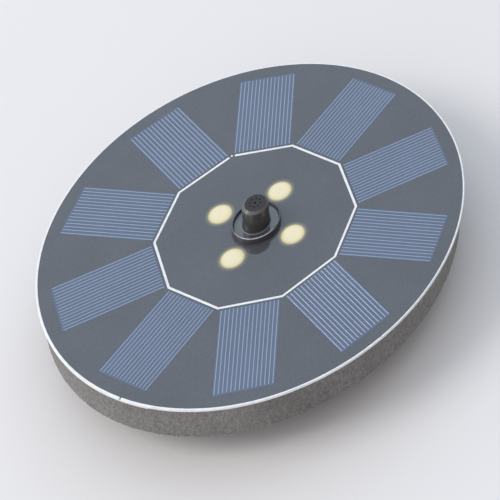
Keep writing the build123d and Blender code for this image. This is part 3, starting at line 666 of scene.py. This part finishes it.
def sponge_shape(p, nrm, w):
    q = p * 1000.0
    d = noise.voronoi(q * 0.9)[0][0]
    depth = 0.05 + max(0.0, 0.5 - d) * 1.1 + abs(noise.noise(q * 0.3)) * 0.15
    return p - nrm * (depth * MM * w)


sponge = ring_grid("sponge_ring", prof, 420, sponge_material(), sponge_shape)
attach(sponge, "strainer")
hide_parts("filter_sponge")

# ------------------------------------------------------------------ nozzle O-ring
o_lo, o_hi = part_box("nozzle_seal")
zc = (o_lo.z + o_hi.z) / 2
rc, rs = 2.715 * MM, 0.255 * MM
prof = [(rc + rs * math.cos(2 * math.pi * i / 20), zc + rs * 1.6 * math.sin(2 * math.pi * i / 20), 1.0) for i in range(20)]
oring = ring_grid("nozzle_oring", prof, 96, seal.m)
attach(oring, "nozzle")
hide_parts("nozzle_seal")

# ------------------------------------------------------------------ stage
BACKDROP = (0.78, 0.775, 0.795)


def follow(fc, target, axis, points, times=1):
    """Lets a value follow where an object stands, by a curve through the points; the input is that place taken some times over."""
    for m in list(fc.modifiers):
        fc.modifiers.remove(m)
    fc.driver.type = "SUM"
    for i in range(times):
        var = fc.driver.variables.new()
        var.name = f"x{i}"
        var.type = "TRANSFORMS"
        var.targets[0].id = target
        var.targets[0].transform_type = axis
        var.targets[0].transform_space = "WORLD_SPACE"
    for x, y in points:
        kp = fc.keyframe_points.insert(x, y)
        kp.interpolation = "LINEAR"
    fc.extrapolation = "CONSTANT"
    fc.update()


bm = bmesh.new()
R = 6.0
verts = [bm.verts.new((R * math.cos(2 * math.pi * i / 64), R * math.sin(2 * math.pi * i / 64), 0.0)) for i in range(64)]
bm.faces.new(verts)
fl = Mat("stage_floor")
dn = fl.noise(3.0, 3.0, 0.5)
fl.set(color=fl.ramp(dn, [(0.3, (0.775, 0.752, 0.752)), (0.7, (0.80, 0.776, 0.776))]), rough=0.75, spec=0.2)
lp = fl.n("ShaderNodeLightPath")
geo = fl.n("ShaderNodeNewGeometry")
hide = fl.math("MULTIPLY", lp.outputs["Is Camera Ray"], geo.outputs["Backfacing"])
from_below = fl.n("ShaderNodeValue")
hide = fl.math("MAXIMUM", hide, from_below.outputs[0])
away = fl.n("ShaderNodeVectorMath", operation="LENGTH")
fl.link(geo.outputs["Position"], away.inputs[0])
fade = fl.math("MULTIPLY", fl.remap(away.outputs["Value"], 0.5, 3.2, 0.0, 1.0), lp.outputs["Is Camera Ray"])
haze = fl.n("ShaderNodeEmission")
haze.inputs["Color"].default_value = (*BACKDROP, 1.0)
far = fl.n("ShaderNodeMixShader")
fl.link(fade, far.inputs[0])
fl.link(fl.b.outputs[0], far.inputs[1])
fl.link(haze.outputs[0], far.inputs[2])
tr = fl.n("ShaderNodeBsdfTransparent")
mx = fl.n("ShaderNodeMixShader")
fl.link(hide, mx.inputs[0])
fl.link(far.outputs[0], mx.inputs[1])
fl.link(tr.outputs[0], mx.inputs[2])
fl.link(mx.outputs[0], fl.out.inputs["Surface"])
floor = add_object("stage_floor", bm, fl.m, smooth=False)
if floor.data.polygons[0].normal.z < 0:
    floor.data.flip_normals()
floor.location.z = -0.0002

world = bpy.data.worlds.new("studio")
bpy.context.scene.world = world
world.use_nodes = True
wn = world.node_tree
wn.nodes.clear()


def wnode(kind, **props):
    node = wn.nodes.new(kind)
    for k, v in props.items():
        setattr(node, k, v)
    return node


def wdot(v):
    d = wnode("ShaderNodeVectorMath", operation="DOT_PRODUCT")
    wn.links.new(wtc.outputs["Generated"], d.inputs[0])
    d.inputs[1].default_value = v
    return d.outputs["Value"]


def wrange(sock, a, b, c, d, smooth=False):
    r = wnode("ShaderNodeMapRange", clamp=True)
    if smooth:
        r.interpolation_type = "SMOOTHERSTEP"
    wn.links.new(sock, r.inputs["Value"])
    for i, x in zip(("From Min", "From Max", "To Min", "To Max"), (a, b, c, d)):
        r.inputs[i].default_value = x
    return r.outputs[0]


def wmath(op, a, b):
    m = wnode("ShaderNodeMath", operation=op)
    for i, x in ((0, a), (1, b)):
        if isinstance(x, (int, float)):
            m.inputs[i].default_value = x
        else:
            wn.links.new(x, m.inputs[i])
    return m.outputs[0]


wtc = wnode("ShaderNodeTexCoord")
height = wdot((0, 0, 1))
level = wmath("MULTIPLY", wrange(height, 0.0, 0.35, 0.60, 0.72), wrange(height, -0.45, -0.06, 1.9, 1.0))
side = wmath("ADD", 1.0, wmath("MULTIPLY", wdot((-0.8, 0.6, 0.0)), 0.62))
room = wmath("MULTIPLY", level, side)
box_az, box_el = math.radians(151.0), math.radians(50.0)
box_dir = (math.sin(box_az) * math.cos(box_el), -math.cos(box_az) * math.cos(box_el), math.sin(box_el))
soft = wrange(wdot(box_dir), math.cos(math.radians(52)), math.cos(math.radians(22)), 0.0, 1.0, smooth=True)


def wcolor(value, color):
    m = wnode("ShaderNodeVectorMath", operation="SCALE")
    m.inputs[0].default_value = color
    wn.links.new(value, m.inputs["Scale"])
    return m.outputs[0]


mixc = wnode("ShaderNodeVectorMath", operation="ADD")
wn.links.new(wcolor(room, (1.0, 1.0, 1.015)), mixc.inputs[0])
wn.links.new(wcolor(wmath("MULTIPLY", soft, 0.43), (0.66, 1.0, 1.36)), mixc.inputs[1])
light_bg = wnode("ShaderNodeBackground")
wn.links.new(mixc.outputs[0], light_bg.inputs["Color"])
seen_bg = wnode("ShaderNodeBackground")
seen_bg.inputs["Color"].default_value = (*BACKDROP, 1.0)
wlp = wnode("ShaderNodeLightPath")
wmx = wnode("ShaderNodeMixShader")
wn.links.new(wlp.outputs["Is Camera Ray"], wmx.inputs[0])
wn.links.new(light_bg.outputs[0], wmx.inputs[1])
wn.links.new(seen_bg.outputs[0], wmx.inputs[2])
wo = wnode("ShaderNodeOutputWorld")
wn.links.new(wmx.outputs[0], wo.inputs["Surface"])


def area(name, az, el, dist, size, power, color=(1, 1, 1)):
    a, e = math.radians(az), math.radians(el)
    ld = bpy.data.lights.new(name, "AREA")
    ld.shape = "DISK"
    ld.size = size
    ld.energy = power
    ld.color = color
    ob = bpy.data.objects.new(name, ld)
    loc = Vector((math.sin(a) * math.cos(e), -math.cos(a) * math.cos(e), math.sin(e))) * dist + Vector((0, 0, 0.02))
    ob.location = loc
    ob.rotation_mode = "QUATERNION"
    ob.rotation_quaternion = (Vector((0, 0, 0.02)) - loc).to_track_quat("-Z", "Y")
    bpy.context.scene.collection.objects.link(ob)
    return ob


area("key", -118.0, 42.0, 2.6, 1.3, 25.0, (1.0, 0.985, 0.965))

# ------------------------------------------------------------------ camera
# A shifted lens: the camera looks nearly level while the round face is far off the axis, as a shift lens sees it.
AZ, EL, ROLL = math.radians(-57.1555286), math.radians(21.60430578), math.radians(7.23590741)
DIST, TX, TY = 1.046117, -0.44115492, -0.54745311
ZOOM = 1.85
FOCAL = 1385.006 * ZOOM  # in pixels of a 500-pixel picture
CENTRE_X, CENTRE_Y = 256.4, 224.2  # where the middle of the round face lands
back = Vector((math.sin(AZ) * math.cos(EL), -math.cos(AZ) * math.cos(EL), math.sin(EL)))
right = Vector((math.cos(AZ), math.sin(AZ), 0.0))
up = back.cross(right)
rr = math.cos(ROLL) * right + math.sin(ROLL) * up
uu = -math.sin(ROLL) * right + math.cos(ROLL) * up
cam_d = bpy.data.cameras.new("camera")
cam_d.sensor_width = 36.0
cam_d.lens = 36.0 * FOCAL / 500.0
cam = bpy.data.objects.new("camera", cam_d)
loc = Vector((0.0, 0.0, 0.031)) + DIST * (back - TX * rr - TY * uu)
cam.rotation_mode = "QUATERNION"
cam.location = loc
cam.rotation_quaternion = Matrix((rr, uu, back)).transposed().to_quaternion()
cam_d.clip_start, cam_d.clip_end = 0.01, 50.0
bpy.context.scene.collection.objects.link(cam)
bpy.context.scene.camera = cam


# The lens shift belongs to this one viewpoint: it drops to nothing when the camera stands anywhere else.
# (Twenty times the place is read, so that a few millimetres are a wide enough step on the curve.)
for prop, value in (
    ("shift_x", (250.0 + FOCAL * TX - CENTRE_X) / 500.0),
    ("shift_y", (CENTRE_Y + FOCAL * TY - 250.0) / 500.0),
):
    at = 20 * loc.x
    follow(cam_d.driver_add(prop), cam, "LOC_X", [(at - 0.08, 0.0), (at - 0.04, value), (at + 0.04, value), (at + 0.08, 0.0)], 20)

# The floor lets light and sight through when the camera is under it, and it stays under the strainer when that comes down.
follow(from_below.outputs[0].driver_add("default_value"), cam, "LOC_Z", [(-0.02, 1.0), (0.0, 0.0)])
follow(floor.driver_add("location", 2), bpy.data.objects["body:strainer"], "LOC_Z", [(-1.0, -1.0002), (0.0, -0.0002)])

vs = bpy.context.scene.view_settings
vs.view_transform = "Standard"
vs.look = "None"
vs.exposure = 0.0
vs.gamma = 1.0
